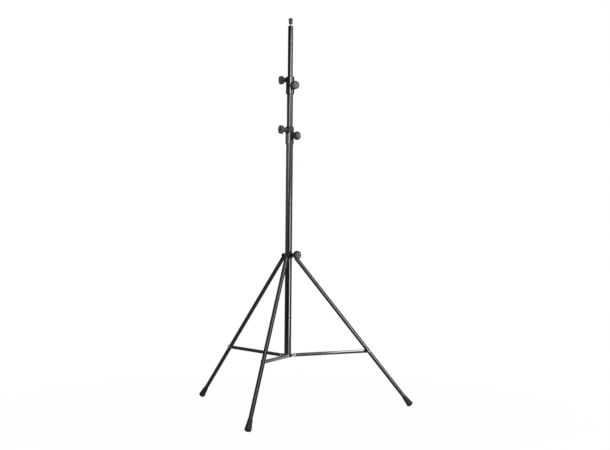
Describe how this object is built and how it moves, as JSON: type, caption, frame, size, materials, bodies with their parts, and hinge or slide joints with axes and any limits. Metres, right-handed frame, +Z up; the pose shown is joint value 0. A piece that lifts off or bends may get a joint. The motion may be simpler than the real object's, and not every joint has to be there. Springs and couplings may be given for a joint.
{
  "type": "tripod stand",
  "caption": "Tall telescopic tripod stand with folding strutted legs, screw-clamped sliding stages and a capped threaded stud on top.",
  "frame": {"origin": "on the floor plane, under the axis of the column", "axes": "+Z up along the column; +X along leg 1, the leg to the right in the picture; legs 2 and 3 follow at 120 and 240 degrees"},
  "size_m": [1.1098, 1.2758, 2.157],
  "materials": {
    "black_paint": "satin black powder coat",
    "black_casting": "gloss black enamel on a casting",
    "black_plastic": "moulded black nylon",
    "grip_plastic": "moulded dark grey nylon",
    "rubber": "moulded black rubber",
    "zinc": "zinc-plated steel",
    "black_oxide": "chemically blackened steel",
    "brass": "turned"
  },
  "bodies": {
    "column": {"column_tube": "black_paint", "base_hub": "black_casting", "hub_rivets": "zinc", "lower_clamp_sleeve": "black_casting", "lower_clamp_bush": "black_plastic", "lower_clamp_pads": "brass"},
    "leg_collar": {"leg_collar": "black_casting", "collar_liner": "black_plastic", "collar_pad": "brass", "leg_pivot_bolts": "black_oxide", "leg_pivot_nuts": "black_oxide"},
    "leg_1": {"leg_tube_1": "black_paint", "leg_knuckle_1": "black_plastic", "leg_rivet_1": "zinc", "leg_foot_1": "rubber"},
    "leg_2": {"leg_tube_2": "black_paint", "leg_knuckle_2": "black_plastic", "leg_rivet_2": "zinc", "leg_foot_2": "rubber"},
    "leg_3": {"leg_tube_3": "black_paint", "leg_knuckle_3": "black_plastic", "leg_rivet_3": "zinc", "leg_foot_3": "rubber"},
    "strut_1": {"strut_1": "black_paint", "strut_rivet_1": "zinc"},
    "strut_2": {"strut_2": "black_paint", "strut_rivet_2": "zinc"},
    "strut_3": {"strut_3": "black_paint", "strut_rivet_3": "zinc"},
    "middle_guide": {"middle_guide": "black_plastic"},
    "middle_stage": {"middle_tube": "black_paint", "upper_clamp_sleeve": "black_casting", "upper_clamp_bush": "black_plastic", "upper_clamp_pads": "brass"},
    "top_guide": {"top_guide": "black_plastic"},
    "top_stage": {"top_tube": "black_paint", "top_plug": "black_casting", "threaded_stud": "zinc"},
    "stud_cap": {"stud_cap": "black_plastic"},
    "collar_knob": {"collar_knob": "grip_plastic", "collar_screw": "zinc"},
    "lower_high_knob": {"lower_high_knob": "grip_plastic", "lower_high_screw": "zinc"},
    "lower_low_knob": {"lower_low_knob": "grip_plastic", "lower_low_screw": "zinc"},
    "upper_high_knob": {"upper_high_knob": "grip_plastic", "upper_high_screw": "zinc"},
    "upper_low_knob": {"upper_low_knob": "grip_plastic", "upper_low_screw": "zinc"}
  },
  "joints": [
    {"name": "collar_slide", "type": "slide", "parent": "column", "child": "leg_collar", "axis": [0, 0, 1], "range_m": [0, 0.56867]},
    {"name": "leg_hinge_1", "type": "hinge", "parent": "leg_collar", "child": "leg_1", "pos_m": [0.031, 0, 0.84945], "axis": [0, 1, 0], "range_deg": [0, 36.91]},
    {"name": "leg_hinge_2", "type": "hinge", "parent": "leg_collar", "child": "leg_2", "pos_m": [-0.0155, 0.02685, 0.84945], "axis": [-0.866, -0.5, 0], "range_deg": [0, 36.91]},
    {"name": "leg_hinge_3", "type": "hinge", "parent": "leg_collar", "child": "leg_3", "pos_m": [-0.0155, -0.02685, 0.84945], "axis": [0.866, -0.5, 0], "range_deg": [0, 36.91]},
    {"name": "strut_hinge_1", "type": "hinge", "parent": "column", "child": "strut_1", "pos_m": [0.042, 0, 0.302], "axis": [0, -1, 0], "range_deg": [0, 85.53]},
    {"name": "strut_hinge_2", "type": "hinge", "parent": "column", "child": "strut_2", "pos_m": [-0.021, 0.03637, 0.302], "axis": [0.866, 0.5, 0], "range_deg": [0, 85.53]},
    {"name": "strut_hinge_3", "type": "hinge", "parent": "column", "child": "strut_3", "pos_m": [-0.021, -0.03637, 0.302], "axis": [-0.866, 0.5, 0], "range_deg": [0, 85.53]},
    {"name": "middle_slide", "type": "slide", "parent": "column", "child": "middle_guide", "axis": [0, 0, 1], "range_m": [-0.178, 0.8]},
    {"name": "middle_swivel", "type": "hinge", "parent": "middle_guide", "child": "middle_stage", "pos_m": [0, 0, 0.5255], "axis": [0, 0, 1], "continuous": true},
    {"name": "top_slide", "type": "slide", "parent": "middle_stage", "child": "top_guide", "axis": [0, 0, 1], "range_m": [-0.27, 0.75]},
    {"name": "top_swivel", "type": "hinge", "parent": "top_guide", "child": "top_stage", "pos_m": [0, 0, 0.858], "axis": [0, 0, 1], "continuous": true},
    {"name": "cap_lift", "type": "slide", "parent": "top_stage", "child": "stud_cap", "axis": [0, 0, 1], "range_m": [0, 0.04]},
    {"name": "collar_knob_turn", "type": "hinge", "parent": "leg_collar", "child": "collar_knob", "pos_m": [0.023, -0.03984, 0.85245], "axis": [0.5, -0.866, 0], "range_deg": [0, 540]},
    {"name": "lower_high_knob_turn", "type": "hinge", "parent": "column", "child": "lower_high_knob", "pos_m": [-0.02971, -0.00417, 1.54], "axis": [-0.9903, -0.1392, 0], "range_deg": [0, 540]},
    {"name": "lower_low_knob_turn", "type": "hinge", "parent": "column", "child": "lower_low_knob", "pos_m": [0.01847, -0.02364, 1.506], "axis": [0.6157, -0.788, 0], "range_deg": [0, 540]},
    {"name": "upper_high_knob_turn", "type": "hinge", "parent": "middle_stage", "child": "upper_high_knob", "pos_m": [-0.02544, 0.0159, 1.8165], "axis": [-0.848, 0.5299, 0], "range_deg": [0, 540]},
    {"name": "upper_low_knob_turn", "type": "hinge", "parent": "middle_stage", "child": "upper_low_knob", "pos_m": [0.00927, -0.02853, 1.7825], "axis": [0.309, -0.9511, 0], "range_deg": [0, 540]}
  ],
  "couplings": [
    {"joint": "leg_hinge_1", "follows": "collar_slide", "rad_per_m": 1.1325},
    {"joint": "leg_hinge_2", "follows": "collar_slide", "rad_per_m": 1.1325},
    {"joint": "leg_hinge_3", "follows": "collar_slide", "rad_per_m": 1.1325},
    {"joint": "strut_hinge_1", "follows": "collar_slide", "rad_per_m": 2.6249},
    {"joint": "strut_hinge_2", "follows": "collar_slide", "rad_per_m": 2.6249},
    {"joint": "strut_hinge_3", "follows": "collar_slide", "rad_per_m": 2.6249}
  ]
}
